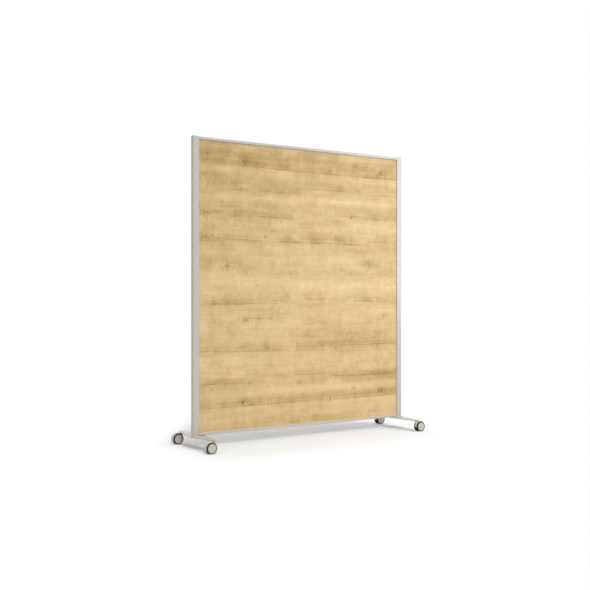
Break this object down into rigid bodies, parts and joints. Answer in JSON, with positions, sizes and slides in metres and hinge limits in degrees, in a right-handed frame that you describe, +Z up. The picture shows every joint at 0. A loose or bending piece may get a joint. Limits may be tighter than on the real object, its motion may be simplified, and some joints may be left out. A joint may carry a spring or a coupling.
{
  "type": "rolling partition",
  "caption": "Wide upright wood-faced board in a slim metal frame, standing on two boat-shaped foot plates with hooded twin-wheel castors that swivel and roll.",
  "frame": {"origin": "on the floor, below the middle of the board", "axes": "+X along the board to the right, +Y through the board to the back, +Z up; the front faces -Y"},
  "size_m": [1.653, 0.461, 1.85],
  "materials": {
    "oak_board": "light oak veneer with horizontal grain, matt lacquer",
    "frame_metal": "fine-textured powder coat, warm light grey",
    "cap_plastic": "moulded plastic, warm light grey, satin",
    "housing_plastic": "moulded plastic, light grey, satin",
    "rim_plastic": "moulded plastic, dark grey",
    "tyre_rubber": "soft dark polyurethane tread, matt",
    "steel": "bright zinc-plated steel"
  },
  "bodies": {
    "root": {"panel_board": "oak_board", "top_rail": "frame_metal", "bottom_rail": "frame_metal", "corner_brackets": "steel", "bracket_screws": "steel", "foot_screws": "steel", "left_post": "frame_metal", "left_post_cap": "cap_plastic", "left_foot_plate": "frame_metal", "right_post": "frame_metal", "right_post_cap": "cap_plastic", "right_foot_plate": "frame_metal", "front_left_castor_stem": "steel", "front_right_castor_stem": "steel", "back_left_castor_stem": "steel", "back_right_castor_stem": "steel"},
    "front_left_castor": {"front_left_castor_ring": "steel", "front_left_castor_housing": "housing_plastic", "front_left_castor_axle": "steel", "front_left_castor_clips": "steel"},
    "front_left_fore_wheel": {"front_left_fore_rim": "rim_plastic", "front_left_fore_tyre": "tyre_rubber", "front_left_fore_cap": "cap_plastic"},
    "front_left_aft_wheel": {"front_left_aft_rim": "rim_plastic", "front_left_aft_tyre": "tyre_rubber", "front_left_aft_cap": "cap_plastic"},
    "front_right_castor": {"front_right_castor_ring": "steel", "front_right_castor_housing": "housing_plastic", "front_right_castor_axle": "steel", "front_right_castor_clips": "steel"},
    "front_right_fore_wheel": {"front_right_fore_rim": "rim_plastic", "front_right_fore_tyre": "tyre_rubber", "front_right_fore_cap": "cap_plastic"},
    "front_right_aft_wheel": {"front_right_aft_rim": "rim_plastic", "front_right_aft_tyre": "tyre_rubber", "front_right_aft_cap": "cap_plastic"},
    "back_left_castor": {"back_left_castor_ring": "steel", "back_left_castor_housing": "housing_plastic", "back_left_castor_axle": "steel", "back_left_castor_clips": "steel"},
    "back_left_fore_wheel": {"back_left_fore_rim": "rim_plastic", "back_left_fore_tyre": "tyre_rubber", "back_left_fore_cap": "cap_plastic"},
    "back_left_aft_wheel": {"back_left_aft_rim": "rim_plastic", "back_left_aft_tyre": "tyre_rubber", "back_left_aft_cap": "cap_plastic"},
    "back_right_castor": {"back_right_castor_ring": "steel", "back_right_castor_housing": "housing_plastic", "back_right_castor_axle": "steel", "back_right_castor_clips": "steel"},
    "back_right_fore_wheel": {"back_right_fore_rim": "rim_plastic", "back_right_fore_tyre": "tyre_rubber", "back_right_fore_cap": "cap_plastic"},
    "back_right_aft_wheel": {"back_right_aft_rim": "rim_plastic", "back_right_aft_tyre": "tyre_rubber", "back_right_aft_cap": "cap_plastic"}
  },
  "joints": [
    {"name": "front_left_swivel", "type": "hinge", "parent": "root", "child": "front_left_castor", "pos_m": [-0.765, -0.21, 0.05], "axis": [0, 0, 1], "continuous": true},
    {"name": "front_left_fore_roll", "type": "hinge", "parent": "front_left_castor", "child": "front_left_fore_wheel", "pos_m": [-0.79, -0.21, 0.0325], "axis": [0, 1, 0], "continuous": true},
    {"name": "front_left_aft_roll", "type": "hinge", "parent": "front_left_castor", "child": "front_left_aft_wheel", "pos_m": [-0.79, -0.21, 0.0325], "axis": [0, 1, 0], "continuous": true},
    {"name": "front_right_swivel", "type": "hinge", "parent": "root", "child": "front_right_castor", "pos_m": [0.765, -0.21, 0.05], "axis": [0, 0, 1], "continuous": true},
    {"name": "front_right_fore_roll", "type": "hinge", "parent": "front_right_castor", "child": "front_right_fore_wheel", "pos_m": [0.79, -0.21, 0.0325], "axis": [0, 1, 0], "continuous": true},
    {"name": "front_right_aft_roll", "type": "hinge", "parent": "front_right_castor", "child": "front_right_aft_wheel", "pos_m": [0.79, -0.21, 0.0325], "axis": [0, 1, 0], "continuous": true},
    {"name": "back_left_swivel", "type": "hinge", "parent": "root", "child": "back_left_castor", "pos_m": [-0.765, 0.21, 0.05], "axis": [0, 0, 1], "continuous": true},
    {"name": "back_left_fore_roll", "type": "hinge", "parent": "back_left_castor", "child": "back_left_fore_wheel", "pos_m": [-0.79, 0.21, 0.0325], "axis": [0, 1, 0], "continuous": true},
    {"name": "back_left_aft_roll", "type": "hinge", "parent": "back_left_castor", "child": "back_left_aft_wheel", "pos_m": [-0.79, 0.21, 0.0325], "axis": [0, 1, 0], "continuous": true},
    {"name": "back_right_swivel", "type": "hinge", "parent": "root", "child": "back_right_castor", "pos_m": [0.765, 0.21, 0.05], "axis": [0, 0, 1], "continuous": true},
    {"name": "back_right_fore_roll", "type": "hinge", "parent": "back_right_castor", "child": "back_right_fore_wheel", "pos_m": [0.79, 0.21, 0.0325], "axis": [0, 1, 0], "continuous": true},
    {"name": "back_right_aft_roll", "type": "hinge", "parent": "back_right_castor", "child": "back_right_aft_wheel", "pos_m": [0.79, 0.21, 0.0325], "axis": [0, 1, 0], "continuous": true}
  ]
}
